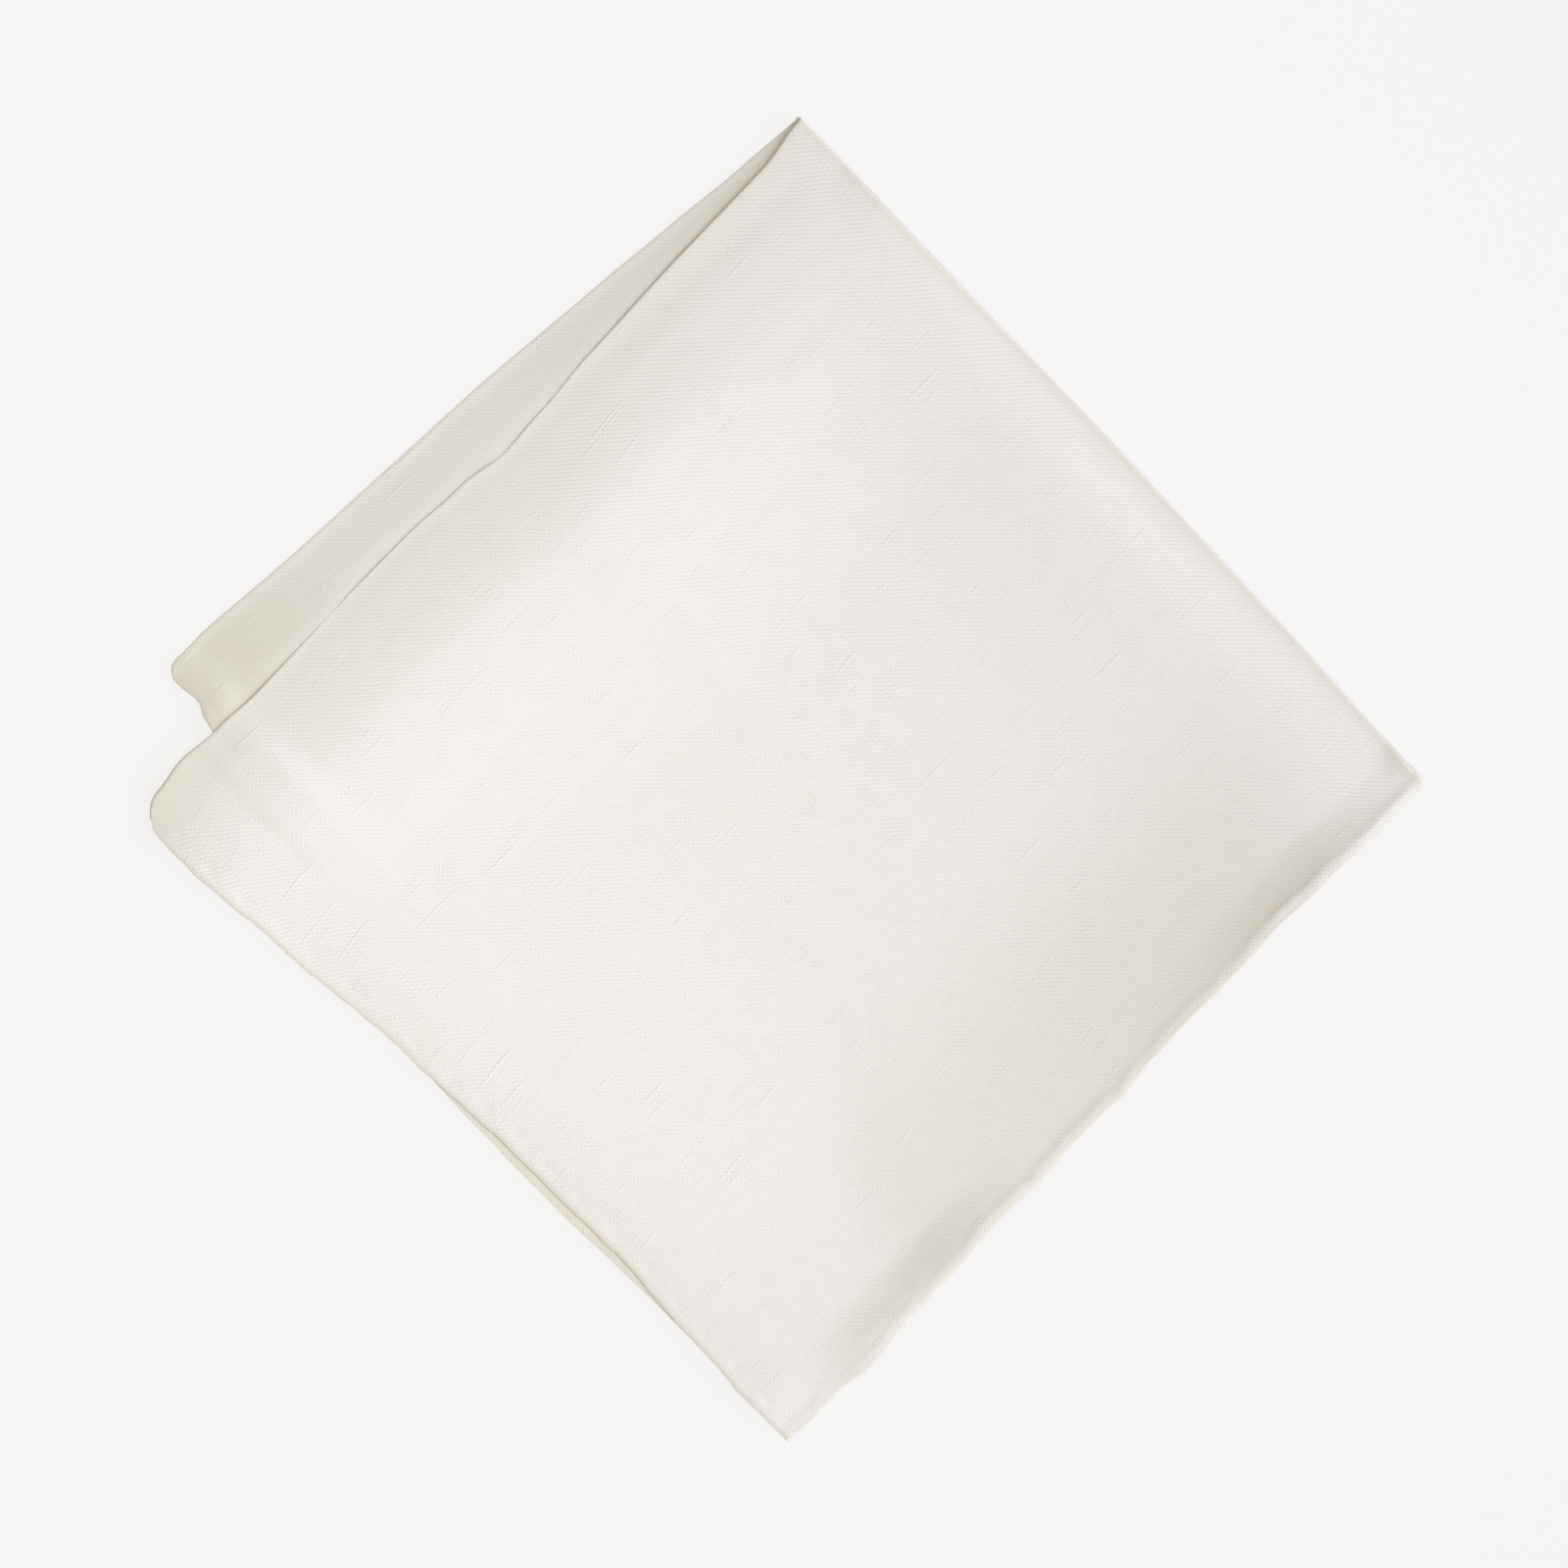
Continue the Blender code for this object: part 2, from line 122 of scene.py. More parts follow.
folds = dict(
    sheetGap=0.46, rollGap=1.3,          # between the middles of two layers: plain, and roll on roll
    backGap=0.44,              # between the two pairs
    rollClear=0.4, rollReach=9.0,        # how far in a pair's rolls hold its layers apart
    hover=0.4,                 # the upper pair's hem over the surface it falls towards
    stepStart=1.5, stepLength=16.0,      # its way down past the lower pair's hems
    creaseReach=1.6, upperReach=1.3, lowerReach=0.9,       # from a fold's line to its outer edge
    creaseOpen=0.12, creaseStart=4.0, creaseEnd=24.0,      # the crease holds the layers apart
    pairOpenReach=10.0,        # but not where the upper fold presses them
    creaseFlat=0.6,            # of a round arc's reach
    peekRise=0.45, peekStart=-0.5, peekEnd=0.2,      # of the layer that shows past the top one's hem
    sideStart=3.0, sideEnd=20.0,         # how far in the upper pair's side hems lie together
    upperCorner=3.0, lowerCorner=2.4,    # where a first fold meets the side hem
    lainFrom=-74.0,            # left of this the upper fold keeps its height past the lower pair
    upperFlat=5.0, lowerFlat=0.3, flatLimit=0.45,          # how far a fold reaches out, of its height
    upperPress=0.74, upperPressReach=5.5,      # how much thinner a fold is pressed, and how far in
    lowerPress=0.3, lowerPressReach=4.0,
)

# How high the middle of the top layer lies. Each side has a section (distance in, height over the
# field) and its share along that side, from the first corner named to the second.
surface = dict(
    field=2.3,                 # the middle, away from the sides
    roundness=3.0, blend=0.3,  # how sharply one side takes over from another, how softly layers meet
    # over the upper fold, on top of where the fold itself lies
    foldSection=[(0, 0), (2, 0.05), (5, 0.45), (10, 1.4), (15, 2.1), (20, 2.45), (30, 2.15),
                 (45, 1.0), (66, 0)],
    foldShare=[(0, 0.66), (0.25, 0.85), (0.5, 1), (0.7, 0.95), (0.88, 0.78), (1, 0.7)],
    foldFade=66.0,
    sideSection=[(0, 1.75), (3, 1.95), (8, 2.1), (16, 1.9), (30, 1.2), (45, 0.4), (60, 0)],
    sideShare=[(0, 0.9), (0.35, 1), (0.6, 0.8), (0.85, 0.75), (1, 0.7)],
    endSection=[(0, 4.35), (2.5, 3.95), (5, 3.55), (10, 2.85), (15, 2.2), (20, 1.6), (27, 0.85),
                (36, 0.25), (48, 0)],
    endShare=[(0, 0.25), (0.08, 0.3), (0.16, 1), (0.6, 1), (0.68, 0.8), (0.76, 0.3), (0.85, 0.25),
              (0.93, 0.1), (1, 0)],
    # the end hem curls up a little, in places
    curlSection=[(0, 1.35), (2.5, 1.1), (4, 0.75), (6, 0.35), (8, 0.06), (11, 0)],
    curlShare=[(0, 0.2), (0.08, 0.9), (0.16, 1.3), (0.24, 1), (0.33, 0.3), (0.66, 0.4), (0.76, 1.3),
               (0.85, 0.9), (0.93, -0.3), (1, -0.4)],
    creaseSection=[(0, -0.7), (3, -0.5), (8, 0.3), (13, 0.85), (18, 0.9), (30, 0.45), (48, 0)],
    creaseShare=[(0, -0.1), (0.15, -0.2), (0.25, 0.1), (0.34, 0.6), (0.42, 1), (0.8, 1.1), (1, 1.1)],
    # the lower pair's own fold, where it shows
    lowerSection=[(0, 0), (2, 0.03), (5, 0.35), (9, 0.9), (14, 1.55), (20, 1.95), (28, 1.85),
                  (40, 1.1), (55, 0)],
    lowerShare=[(0, 0.2), (0.1, 0.6), (0.25, 0.8), (0.6, 0.85), (0.8, 1.0), (1, 1.2)],
    # beside the upper pair's fold the lower pair rises against it
    brimRise=0.34, brimStart=-1.7, brimEnd=-1.0, brimReach=3.5, brimInset=5.0,
)

linen = dict(
    # the first two colours are the linen's own tones, mixed at random
    bright=(0.838, 0.802, 0.768), dullAndPaintedShade=(0.823, 0.796, 0.752),
    paintedShadeTint=(0.915, 0.90, 0.842),     # painted shade: colour made darker and more yellow where the folds cast shade and along the rims
    paintedShadeReach=7.0, paintedShadeLevel=0.42, paintedShadeLeft=0.58, leftStart=0.72,      # the painted shade is stronger towards the left end
    # the painted shade along every rim reaches this far in, millimetres
    paintedRimShadeReach=0.8,
    threadPitch=0.5, threadDepth=0.02,          # millimetres
    strayAmount=0.6, strayAcross=2.2, strayAlong=0.09,       # each yarn strays a little from its place
    clearLines=1.3, faintLines=0.35,            # the crossings line up both ways, one way more clearly
    patchRate=0.22, patchRange=1.4, patchLeast=0.25,         # and not everywhere alike
    shadeSmooths=0.6,          # part of the weave's bumps smoothed away where the shade is painted
    slubDepth=0.05, slubAlong=0.06, slubAcross=1.5, slubFrom=0.60, slubTo=0.78, weftSlubs=0.4,
    blotchScale=40.0, blotchTint=0.7, slubTint=0.25,
    roughness=0.9, specular=0.2, sheen=0.12, sheenRoughness=0.4,
)

# Soft mounds and hollows: centre, half lengths, turn of the long axis, height
mounds = [
    dict(x=-48, y=-4, along=30, across=14, turn=50, height=0.15),
]


def partWay(value, start, end):
    return np.clip((value - start) / (end - start), 0, 1)


def smooth(value, start, end):
    part = partWay(value, start, end)
    return part * part * (3 - 2 * part)


def readTable(table, along):
    # steps from row to row of the table, each one eased
    places, sizes = np.array(table, float).T
    index = np.clip(np.searchsorted(places, along, side="right") - 1, 0, len(places) - 2)
    part = smooth(along, places[index], places[index + 1])
    return sizes[index] + (sizes[index + 1] - sizes[index]) * part


def readCurve(table, place):
    # a smooth curve through the table's rows, level past its ends
    places, sizes = np.array(table, float).T
    slopes = np.gradient(sizes, places)
    slopes[-1] = 0
    place = np.clip(place, places[0], places[-1])
    index = np.clip(np.searchsorted(places, place, side="right") - 1, 0, len(places) - 2)
    span = places[index + 1] - places[index]
    t = (place - places[index]) / span
    start = sizes[index] * (1 + 2 * t) + slopes[index] * span * t
    end = sizes[index + 1] * (3 - 2 * t) + slopes[index + 1] * span * (t - 1)
    return start * (1 - t) ** 2 + end * t ** 2


def wobble(along, size, seed):
    # small unevenness along a hem
    total = 0 * along
    for turn, share in hem["wobbleWaves"]:
        drift = hem["wobbleDrift"] * np.sin(hem["driftRate"] * along * turn + seed)
        total = total + share * np.sin(2 * math.pi * turn * along + seed * turn + drift)
    fade = hem["wobbleFade"]
    return size * total * smooth(along, 0, fade) * smooth(along, 1, 1 - fade)


def sideCurve(start, end, swell, outward, along, waver=0, seed=0):
    start, end = np.array(start, float), np.array(end, float)
    points = start + (end - start) * along[:, None]
    swelling = readTable(swells[swell], along) + wobble(along, waver, seed)
    return points + np.array(outward) * swelling[:, None]


def layerPlan(name, fromCrease, fromFold, seed):
    # a patch stretched between two folds and two hems
    corner = corners[name]
    upper = name in ("top", "under")
    inset = np.array((-folds["creaseReach"], -folds["upperReach" if upper else "lowerReach"]))
    centre = np.array(corner["centre"]) + inset
    foldEnd = np.array(corner["foldEnd"]) + inset * (0, 1)
    creaseEnd = np.array(corner["creaseEnd"]) + inset * (1, 0)
    free = np.array(corner["free"])
    crease = sideCurve(centre, creaseEnd, "crease", (1, 0), fromFold)
    fold = sideCurve(centre, foldEnd, "upperFold" if upper else "lowerFold", (0, 1), fromCrease)
    sideHem = sideCurve(foldEnd, free, name + "Side", (-1, 0), fromFold, hem["sideWobble"], seed)
    endHem = sideCurve(creaseEnd, free, name + "End", (0, -1), fromCrease, hem["endWobble"], seed + 2)
    a, b = fromCrease[:, None, None], fromFold[None, :, None]
    across = (1 - a) * crease[None] + a * sideHem[None]
    down = (1 - b) * fold[:, None] + b * endHem[:, None]
    flat = (1 - b) * ((1 - a) * centre + a * foldEnd) + b * ((1 - a) * creaseEnd + a * free)
    radius = folds["upperCorner" if upper else "lowerCorner"]
    return roundCorner(across + down - flat, fromCrease, fromFold, radius)


def roundCorner(plan, fromCrease, fromFold, radius):
    # the corner between the first fold and the side hem: a square patch drawn in to a quarter of a disc
    a = np.maximum(1 - (1 - fromCrease) * cloth["foldedSide"] / radius, 0)[:, None]
    b = np.maximum(1 - fromFold * cloth["foldedSide"] / radius, 0)[None, :]
    plan[..., 0] += radius * a * (1 - np.sqrt(1 - b * b / 2))
    plan[..., 1] -= radius * b * (1 - np.sqrt(1 - a * a / 2))
    return plan


def hemDistance(names, x, y):
    # distance in from the layers' hems, below 0 past them
    side, end = [], []
    for name in names:
        corner = corners[name]
        (ex, ey), (fx, fy), (cx, cy) = corner["foldEnd"], corner["free"], corner["creaseEnd"]
        down, back = partWay(y, ey, fy), partWay(x, cx, fx)
        side.append(x - ex - (fx - ex) * down + readTable(swells[name + "Side"], down))
        end.append(y - cy - (fy - cy) * back + readTable(swells[name + "End"], back))
    return side, end


def rollLift(side, end):
    nearest = np.minimum(np.minimum(*side), np.minimum(*end))
    return 1 - smooth(nearest, hem["width"] + folds["rollClear"], folds["rollReach"])


def relief(x, y):
    total = 0 * x
    for m in mounds:
        turn = math.radians(m["turn"])
        along = (x - m["x"]) * math.cos(turn) + (y - m["y"]) * math.sin(turn)
        across = (y - m["y"]) * math.cos(turn) - (x - m["x"]) * math.sin(turn)
        total = total + m["height"] * np.exp(-(along / m["along"]) ** 2 - (across / m["across"]) ** 2)
    return total


def foldLineY(name, swell, x):
    (cx, cy), (ex, ey) = corners[name]["centre"], corners[name]["foldEnd"]
    along = partWay(x, cx, ex)
    return cy + (ey - cy) * along + readTable(swells[swell], along)


def creaseLineX(y):
    (cx, cy), (ex, ey) = corners["top"]["centre"], corners["top"]["creaseEnd"]
    along = partWay(y, cy, ey)
    return cx + (ex - cx) * along + readTable(swells["crease"], along)


def topSurface(x, y, side, end, foldHeight):
    form, corner = surface, corners["top"]
    downX = partWay(x, corner["centre"][0], corner["foldEnd"][0])
    downY = partWay(y, corner["centre"][1], corner["free"][1])
    fromCrease, fromFold = creaseLineX(y) - x, foldLineY("top", "upperFold", x) - y
    fromEnd = np.minimum(*end)
    fold = readCurve(form["foldSection"], fromFold) * readCurve(form["foldShare"], downX)
    ridges = [
        fold + (foldHeight - form["field"]) * (1 - smooth(fromFold, 0, form["foldFade"])),
        readCurve(form["sideSection"], np.minimum(*side)) * readCurve(form["sideShare"], downY),
        readCurve(form["endSection"], fromEnd) * readCurve(form["endShare"], downX),
    ]
    power = form["roundness"]
    total = sum(np.maximum(ridge, 0) ** power for ridge in ridges) ** (1 / power)
    curl = readCurve(form["curlSection"], fromEnd) * readCurve(form["curlShare"], downX)
    crease = readCurve(form["creaseSection"], fromCrease) * readCurve(form["creaseShare"], downY)
    return form["field"] + total + curl + crease + relief(x, y)


def foldPress(pair, distance):
    return folds[pair + "Press"] * np.exp(-(np.maximum(distance, 0) / folds[pair + "PressReach"]) ** 2)


def pressedHeights(x, y):
    # the layers lying on each other, and the top layer as low as it can lie
    lowSide, lowEnd = hemDistance(("over", "base"), x, y)
    upSide, upEnd = hemDistance(("top", "under"), x, y)
    sheet, roll = folds["sheetGap"], folds["rollGap"] - folds["sheetGap"]
    fromLow = foldLineY("base", "lowerFold", x) - y
    past = y - foldLineY("top", "upperFold", x)
    fromCrease = creaseLineX(y) - x
    creaseOpen = folds["creaseOpen"] * (1 - smooth(fromCrease, folds["creaseStart"], folds["creaseEnd"]))
    half = cloth["thickness"] / 2
    lowPress = foldPress("lower", fromLow - folds["lowerReach"])
    upPress = foldPress("upper", -past - folds["upperReach"])
    base = half + 0 * x
    over = base + sheet * (1 - lowPress) + roll * rollLift(lowSide, lowEnd) + creaseOpen
    downX = partWay(x, corners["base"]["centre"][0], corners["base"]["foldEnd"][0])
    over = over + readCurve(surface["lowerSection"], fromLow) * readCurve(surface["lowerShare"], downX)
    start = -folds["stepStart"]
    covered = smooth(np.maximum(*lowSide), start - folds["stepLength"], start)
    covered = covered * smooth(np.maximum(*lowEnd), start - folds["stepLength"], start)
    pairOpen = creaseOpen * smooth(-past - folds["upperReach"], 0, folds["pairOpenReach"])
    low = half + folds["hover"]
    under = low + covered * (over + folds["backGap"] - half * (upPress + lowPress) + pairOpen - low)
    least = under + sheet * (1 - upPress) + roll * rollLift(upSide, upEnd) + pairOpen
    brim = smooth(past, surface["brimStart"], surface["brimEnd"])
    brim = brim * np.exp(-np.maximum(past, 0) / surface["brimReach"])
    over = over + surface["brimRise"] * brim * smooth(fromLow, 0, surface["brimInset"])
    return dict(least=least, under=under, over=over, base=base), upSide, upEnd


def layerHeights(x, y):
    heights, side, end = pressedHeights(x, y)
    lain = np.maximum(x, folds["lainFrom"])
    foldHeight = pressedHeights(lain, foldLineY("top", "upperFold", lain))[0]["least"]
    least, wanted = heights.pop("least"), topSurface(x, y, side, end, foldHeight)
    top = (least + wanted + np.sqrt((least - wanted) ** 2 + surface["blend"] ** 2)) / 2
    # the upper pair's side hems lie together, and the lower one comes up where it shows
    together = 1 - smooth(side[0], folds["sideStart"], folds["sideEnd"])
    lift = np.maximum(top - folds["rollGap"] - heights["under"], 0) * together
    lift = lift + folds["peekRise"] * smooth(-side[0], folds["peekStart"], folds["peekEnd"])
    return dict(heights, top=top, under=heights["under"] + lift)


def meshRows(arcFaces):
    # rows from the upper (or outer) hem over a fold to the other: place, fold angle, inset from the hem
    def half(count, crowding, insets):
        even = np.linspace(0, 1, count + 1)
        crowded = even - crowding * np.sin(2 * math.pi * even) / (2 * math.pi)
        field = crowded * (1 - insets[-1] / cloth["foldedSide"])
        return list(field[:-1]) + [1 - inset / cloth["foldedSide"] for inset in reversed(insets)]

    high = half(cloth["topHalfRows"], cloth["topCrowding"], hem["rows"])
    low = half(cloth["lowHalfRows"], cloth["lowCrowding"], hem["lowRows"])
    arc = list(np.linspace(math.pi / 2, -math.pi / 2, arcFaces + 1)[1:-1])
    place = np.array(high[::-1] + [0.0] * len(arc) + low)
    angle = np.array([math.pi / 2] * len(high) + arc + [-math.pi / 2] * len(low))
    return place, angle, (1 - place) * cloth["foldedSide"]


def between(first, second, weight):
    return first * (1 + weight) / 2 + second * (1 - weight) / 2


def hemSection(inset, size, puff):
    # how far the right and the wrong side lie from the cloth's middle
    half, width = cloth["thickness"] / 2, hem["width"] * size
    right = half + puff * (2 * size - 1) * np.sin(math.pi * np.clip(inset / hem["puffWidth"], 0, 1)) ** 2
    right = right - hem["edgeDrop"] * np.maximum(1 - inset / hem["edgeReach"], 0) ** 2
    full = width * hem["beadPlace"]
    bead = np.sqrt(np.maximum(1 - ((inset - full) / (width - full)) ** 2, 0))
    wrong = -half - hem["bead"] * size * bead
    return right, wrong


def rollSize(ahead):
    total = 0 * ahead
    for rate, start, drift, driftRate, share in hem["rollWaves"]:
        total = total + share * np.sin(ahead * rate + start + drift * np.sin(ahead * driftRate))
    return 1 + hem["unevenness"] * total


def stitchPull(ahead, inset):
    # every slip stitch pulls a small dimple into the hem
    pitch = hem["stitchPitch"]
    pull = np.exp(-((ahead / pitch - np.round(ahead / pitch)) * pitch / hem["stitchLength"]) ** 2)
    return pull * np.exp(-((inset - hem["stitchInset"]) / hem["stitchWidth"]) ** 2) * hem["stitchDepth"]


def paintedFoldShade(fromCrease, fromEdge, inset, outer, upper):
    # painted shade: the cloth's colour is made darker and more yellow where the folds cast shade and along
    # every rim
    leftEnd = smooth(fromCrease, linen["leftStart"], 1)[:, None]
    top = (1 + upper) / 2 * (1 + outer) / 2 * smooth(fromEdge, 0, linen["paintedShadeReach"] * (1 + leftEnd))
    shade = (1 - top) * (linen["paintedShadeLevel"] + linen["paintedShadeLeft"] * leftEnd)
    rim = np.minimum(inset, fromCrease[:, None] * cloth["foldedSide"])
    return np.maximum(shade, np.exp(-(rim / linen["paintedRimShadeReach"]) ** 2) * (1 + outer * upper) / 2)


def centred(sides):
    # seated on the surface, in the middle of the solid part's box
    low = np.minimum(sides[0].min(axis=(0, 1)), sides[1].min(axis=(0, 1)))
    high = np.maximum(sides[0].max(axis=(0, 1)), sides[1].max(axis=(0, 1)))
    middle = [(low[0] + high[0]) / 2, (low[1] + high[1]) / 2, 0]
    return [side + np.array(ground) / mm - middle for side in sides]


def buildCloth():
    fromCrease, creaseAngle, sideInset = meshRows(cloth["creaseFaces"])
    fromFold, foldAngle, endInset = meshRows(cloth["foldFaces"])
    plans, heights = {}, {}
    for number, name in enumerate(corners):
        plans[name] = layerPlan(name, fromCrease, fromFold, number * hem["layerSeed"])
        heights[name] = layerHeights(plans[name][..., 0], plans[name][..., 1])[name]

    # outer is 1 on top and base, -1 on under and over; upper is 1 on the upper pair
    outer, upper = np.sin(foldAngle)[None, :], np.sin(creaseAngle)[:, None]
    upperZ = between(heights["top"], heights["under"], outer)
    lowerZ = between(heights["base"], heights["over"], outer)
    plan = between(between(plans["top"], plans["under"], outer[..., None]),
                   between(plans["base"], plans["over"], outer[..., None]), upper[..., None])
    creaseRadius = (upperZ - lowerZ) / 2
    foldRadius = between(heights["top"] - heights["under"], heights["over"] - heights["base"], upper) / 2
    foldOut = foldRadius * between(folds["upperFlat"], folds["lowerFlat"], upper)
    foldOut = np.minimum(foldOut, folds["flatLimit"])
    nearCrease = layerHeights(creaseLineX(plan[..., 1]) - folds["creaseReach"], plan[..., 1])
    reach = (nearCrease["top"] - nearCrease["base"] + cloth["thickness"]) / 2
    x = plan[..., 0] - (reach * folds["creaseFlat"] - folds["creaseReach"]) * (1 - fromCrease[:, None]) ** 2
    middle = np.stack([x + creaseRadius * folds["creaseFlat"] * np.cos(creaseAngle)[:, None],
                       plan[..., 1] + foldOut * np.cos(foldAngle)[None, :],
                       between(upperZ, lowerZ, upper)], axis=-1)
    normal = np.cross(np.gradient(middle, axis=0), np.gradient(middle, axis=1))
    normal /= np.linalg.norm(normal, axis=-1, keepdims=True)

    # distance over the cloth along both threads, for the weave and the hems' unevenness
    overRows = np.cumsum(np.r_[0, np.linalg.norm(np.diff(middle, axis=0), axis=-1).mean(axis=1)])
    overColumns = np.cumsum(np.r_[0, np.linalg.norm(np.diff(middle, axis=1), axis=-1).mean(axis=0)])
    inset = np.minimum(sideInset[:, None], endInset[None, :])
    onSide = sideInset[:, None] < endInset[None, :]
    ahead = np.where(onSide, overColumns[None, :], overRows[:, None])
    endPuff = hem["endPuff"] * readCurve(hem["puffShare"], overRows)[:, None]
    right, wrong = hemSection(inset, rollSize(ahead), np.where(onSide, hem["sidePuff"], endPuff))
    right = right - stitchPull(ahead, inset)
    fromEdge = fromFold[None, :] * cloth["foldedSide"]
    thin = 1 - between(foldPress("upper", fromEdge), foldPress("lower", fromEdge), upper)
    sides = [middle + normal * (right * thin)[..., None], middle + normal * (wrong * thin)[..., None]]
    for side in sides:
        side[..., 2] = np.maximum(side[..., 2], 0)
    flat = np.stack(np.meshgrid(overRows, overColumns, indexing="ij"), axis=-1)
    return centred(sides), flat, paintedFoldShade(fromCrease, fromEdge, inset, outer, upper)


def sheetMesh(name, sides, flat, dullAndPaintedShade):
    # both faces of the cloth, closed round the rim; its flat places become the map for the weave
    rows, columns = flat.shape[:2]
    count = rows * columns
    points = np.concatenate([side.reshape(-1, 3) for side in sides]) * mm
    grid = np.arange(count).reshape(rows, columns)
    quads = np.stack([grid[:-1, :-1], grid[1:, :-1], grid[1:, 1:], grid[:-1, 1:]], axis=-1).reshape(-1, 4)
    rim = np.r_[grid[:, 0], grid[-1, 1:], grid[-2::-1, -1], grid[0, -2::-1]]
    skirt = np.stack([rim[1:], rim[:-1], rim[:-1] + count, rim[1:] + count], axis=-1)
    faces = np.concatenate([quads, quads[:, ::-1] + count, skirt])
    mesh = bpy.data.meshes.new(name)
    mesh.from_pydata(points.tolist(), [], faces.tolist())
    places = (flat / cloth["cutSide"]).reshape(-1, 2)
    places = np.concatenate([places, places])
    corner = np.empty(len(mesh.loops), int)
    mesh.loops.foreach_get("vertex_index", corner)
    mesh.uv_layers.new(name="threads").data.foreach_set("uv", places[corner].ravel())
    # the painted shade of the folds and rims goes to the shader as a point attribute
    mesh.attributes.new("dullAndPaintedShade", "FLOAT", "POINT").data.foreach_set("value", np.tile(dullAndPaintedShade.ravel(), 2))
    mesh.shade_smooth()
    mesh.validate()
    piece = bpy.data.objects.new(name, mesh)
    bpy.context.scene.collection.objects.link(piece)
    return piece


print("weaving the folded cloth")
# the cloth comes with its weave map and the painted shade of its folds and rims
clothSides, clothFlat, clothPaintedShade = buildCloth()
square = sheetMesh("pocketSquare", clothSides, clothFlat, clothPaintedShade)


def makeLinen():
    material = bpy.data.materials.new("linen")
    material.use_nodes = True
    nodes, links = material.node_tree.nodes, material.node_tree.links
    shader = nodes["Principled BSDF"]

    def calc(operation, first, second=None):
        node = nodes.new("ShaderNodeMath")
        node.operation = operation
        for socket, value in zip(node.inputs, (first, second)):
            if isinstance(value, (int, float)):
                socket.default_value = value
            elif value is not None:
                links.new(value, socket)
        return node.outputs[0]

    def combine(x, y):
        node = nodes.new("ShaderNodeCombineXYZ")
        links.new(x, node.inputs[0])
        links.new(y, node.inputs[1])
        return node.outputs[0]

    def noise(vector, scale, detail=1.0):
        node = nodes.new("ShaderNodeTexNoise")
        node.inputs["Scale"].default_value = scale
        node.inputs["Detail"].default_value = detail
        links.new(vector, node.inputs["Vector"])
        return node.outputs["Fac"]

    threads = nodes.new("ShaderNodeUVMap")
    threads.uv_map = "threads"
    split = nodes.new("ShaderNodeSeparateXYZ")
    links.new(threads.outputs["UV"], split.inputs[0])
    u = calc("MULTIPLY", split.outputs[0], cloth["cutSide"])       # millimetres over the cloth
    v = calc("MULTIPLY", split.outputs[1], cloth["cutSide"])

    def stretched(rateU, rateV):
        return combine(calc("MULTIPLY", u, rateU), calc("MULTIPLY", v, rateV))

    strayU = noise(stretched(linen["strayAcross"], linen["strayAlong"]), 1.0)
    strayV = noise(stretched(linen["strayAlong"], linen["strayAcross"]), 1.0)
    turn = math.pi / linen["threadPitch"]
    warp = calc("MULTIPLY", calc("ADD", u, calc("MULTIPLY", strayU, linen["strayAmount"])), turn)
    weft = calc("MULTIPLY", calc("ADD", v, calc("MULTIPLY", strayV, linen["strayAmount"])), turn)
    clearer = calc("MULTIPLY", calc("COSINE", calc("ADD", warp, weft)), linen["clearLines"])
    fainter = calc("MULTIPLY", calc("COSINE", calc("SUBTRACT", warp, weft)), linen["faintLines"])
    patch = noise(stretched(linen["patchRate"], linen["patchRate"]), 1.0, 2.0)
    patch = calc("ADD", calc("MULTIPLY", patch, linen["patchRange"]), linen["patchLeast"])
    # the painted shade of the folds and rims, which also softens the weave's bumps there
    paintedShadeNode = nodes.new("ShaderNodeAttribute")
    paintedShadeNode.attribute_name = "dullAndPaintedShade"
    hidden = calc("MULTIPLY", paintedShadeNode.outputs["Fac"], linen["shadeSmooths"])
    patch = calc("MULTIPLY", patch, calc("SUBTRACT", 1.0, hidden))
    weave = calc("MULTIPLY", calc("SUBTRACT", clearer, fainter), patch)

    # slubs: thick places that run along a yarn
    def slub(rateU, rateV):
        rise = nodes.new("ShaderNodeMapRange")
        rise.interpolation_type = "SMOOTHSTEP"
        rise.inputs["From Min"].default_value = linen["slubFrom"]
        rise.inputs["From Max"].default_value = linen["slubTo"]
        links.new(noise(stretched(rateU, rateV), 1.0, 2.0), rise.inputs["Value"])
        return rise.outputs["Result"]

    warpSlubs = slub(linen["slubAlong"], linen["slubAcross"])
    weftSlubs = slub(linen["slubAcross"], linen["slubAlong"])
    slubs = calc("ADD", warpSlubs, calc("MULTIPLY", weftSlubs, linen["weftSlubs"]))

    blotch = noise(threads.outputs["UV"], linen["blotchScale"], 2.0)
    shade = calc("ADD", calc("MULTIPLY", blotch, linen["blotchTint"]),
                 calc("MULTIPLY", slubs, linen["slubTint"]))
    tint = nodes.new("ShaderNodeMix")
    tint.data_type = "RGBA"
    links.new(shade, tint.inputs["Factor"])
    tint.inputs["A"].default_value = (*linen["dullAndPaintedShade"], 1)
    tint.inputs["B"].default_value = (*linen["bright"], 1)
    # painted shade: the colour is multiplied darker and more yellow where the shade is painted
    paintedShadeMix = nodes.new("ShaderNodeMix")
    paintedShadeMix.data_type = "RGBA"
    paintedShadeMix.blend_type = "MULTIPLY"
    links.new(paintedShadeNode.outputs["Fac"], paintedShadeMix.inputs["Factor"])
    links.new(tint.outputs["Result"], paintedShadeMix.inputs["A"])
    paintedShadeMix.inputs["B"].default_value = (*linen["paintedShadeTint"], 1)
    links.new(paintedShadeMix.outputs["Result"], shader.inputs["Base Color"])

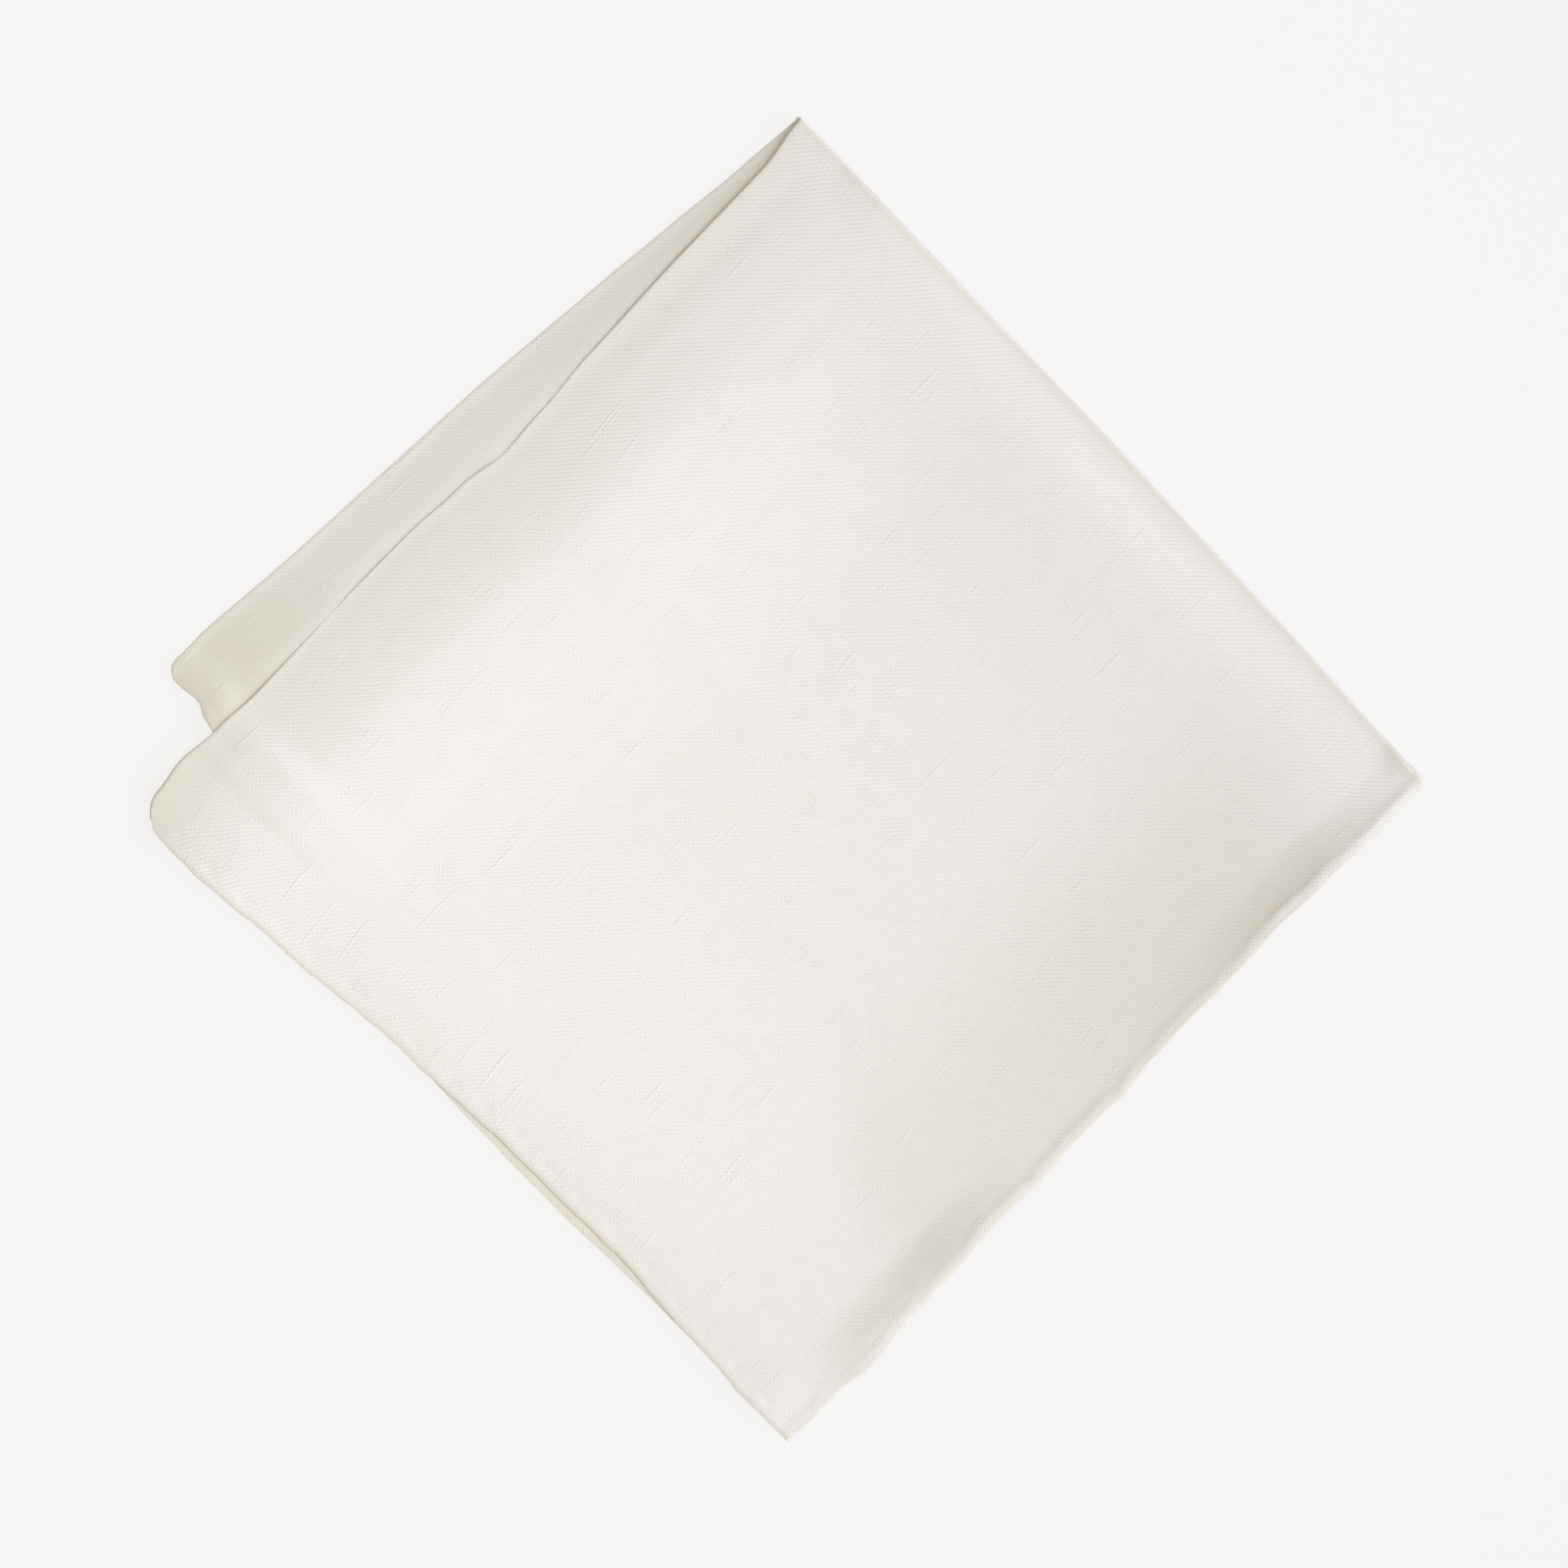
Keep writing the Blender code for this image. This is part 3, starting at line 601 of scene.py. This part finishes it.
    def bump(height, depth, below=None):
        node = nodes.new("ShaderNodeBump")
        node.inputs["Strength"].default_value = 1.0
        node.inputs["Distance"].default_value = depth * mm
        links.new(height, node.inputs["Height"])
        if below is not None:
            links.new(below, node.inputs["Normal"])
        return node.outputs["Normal"]

    weaveNormal = bump(weave, linen["threadDepth"])
    links.new(bump(slubs, linen["slubDepth"], weaveNormal), shader.inputs["Normal"])
    shader.inputs["Roughness"].default_value = linen["roughness"]
    shader.inputs["Specular IOR Level"].default_value = linen["specular"]
    shader.inputs["Sheen Weight"].default_value = linen["sheen"]
    shader.inputs["Sheen Roughness"].default_value = linen["sheenRoughness"]
    return material


print("dyeing the linen")
square.data.materials.append(makeLinen())
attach(square, "root")
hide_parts("cloth")


studio = dict(
    floorColor=(0.93, 0.915, 0.905), floorGlow=0.88, floorSize=12.0,
    floorDrop=0.00002,         # metres under the cloth
    skyLevel=0.288, skyColor=(1.0, 0.917, 0.743),
    sunColor=(0.758, 0.833, 1.0), sunTurn=300.0, sunHeight=29.0, sunSpread=85.0, sunLevel=3.82,
    boxPlace=(-0.05, 0.015, 0.33), boxSize=0.15, boxWatts=0.366,
    frameWidth=0.2893, frameHeight=0.004,       # metres seen across, at this height
    lens=120.0, sensor=36.0, cameraTurn=-45.0, cameraShift=(-0.0003, -0.0044),
)


def makeFloor():
    bpy.ops.mesh.primitive_plane_add(size=studio["floorSize"], location=ground)
    floor = bpy.context.object
    floor.name = "floor"
    floor.location.z -= studio["floorDrop"]
    material = bpy.data.materials.new("paleFloor")
    material.use_nodes = True
    shader = material.node_tree.nodes["Principled BSDF"]
    color, glow = studio["floorColor"], studio["floorGlow"]
    shader.inputs["Base Color"].default_value = (*[c * (1 - glow) for c in color], 1)
    shader.inputs["Roughness"].default_value = 1.0
    shader.inputs["Specular IOR Level"].default_value = 0.0
    shader.inputs["Emission Color"].default_value = (*color, 1)
    shader.inputs["Emission Strength"].default_value = glow
    floor.data.materials.append(material)


def placeLight(data, place, aim):
    light = bpy.data.objects.new(data.name, data)
    light.location = place
    light.rotation_euler = aim.to_track_quat("-Z", "Y").to_euler()
    bpy.context.scene.collection.objects.link(light)


def makeLights():
    world = bpy.data.worlds.new("softRoom")
    bpy.context.scene.world = world
    world.use_nodes = True
    sky = world.node_tree.nodes["Background"]
    sky.inputs["Color"].default_value = (*studio["skyColor"], 1)
    sky.inputs["Strength"].default_value = studio["skyLevel"]
    window = bpy.data.lights.new("window", "SUN")
    window.energy = studio["sunLevel"]
    window.color = studio["sunColor"]
    window.angle = math.radians(studio["sunSpread"])
    turn, height = math.radians(studio["sunTurn"]), math.radians(studio["sunHeight"])
    way = Vector((math.cos(turn) * math.cos(height), math.sin(turn) * math.cos(height), math.sin(height)))
    placeLight(window, boxMiddle + way, -way)
    softBox = bpy.data.lights.new("softBox", "AREA")
    softBox.energy = studio["boxWatts"]
    softBox.color = studio["skyColor"]
    softBox.size = studio["boxSize"]
    placeLight(softBox, ground + Vector(studio["boxPlace"]), Vector((0, 0, -1)))


def makeCamera():
    data = bpy.data.cameras.new("above")
    data.lens = studio["lens"]
    data.sensor_width = studio["sensor"]
    camera = bpy.data.objects.new("above", data)
    distance = studio["frameWidth"] * data.lens / data.sensor_width
    shiftX, shiftY = studio["cameraShift"]
    camera.location = ground + Vector((shiftX, shiftY, studio["frameHeight"] + distance))
    camera.rotation_euler = (0, 0, math.radians(studio["cameraTurn"]))
    bpy.context.scene.collection.objects.link(camera)
    bpy.context.scene.camera = camera


print("setting the studio")
makeFloor()
makeLights()
makeCamera()
bpy.context.scene.view_settings.view_transform = "Standard"

print("finished")
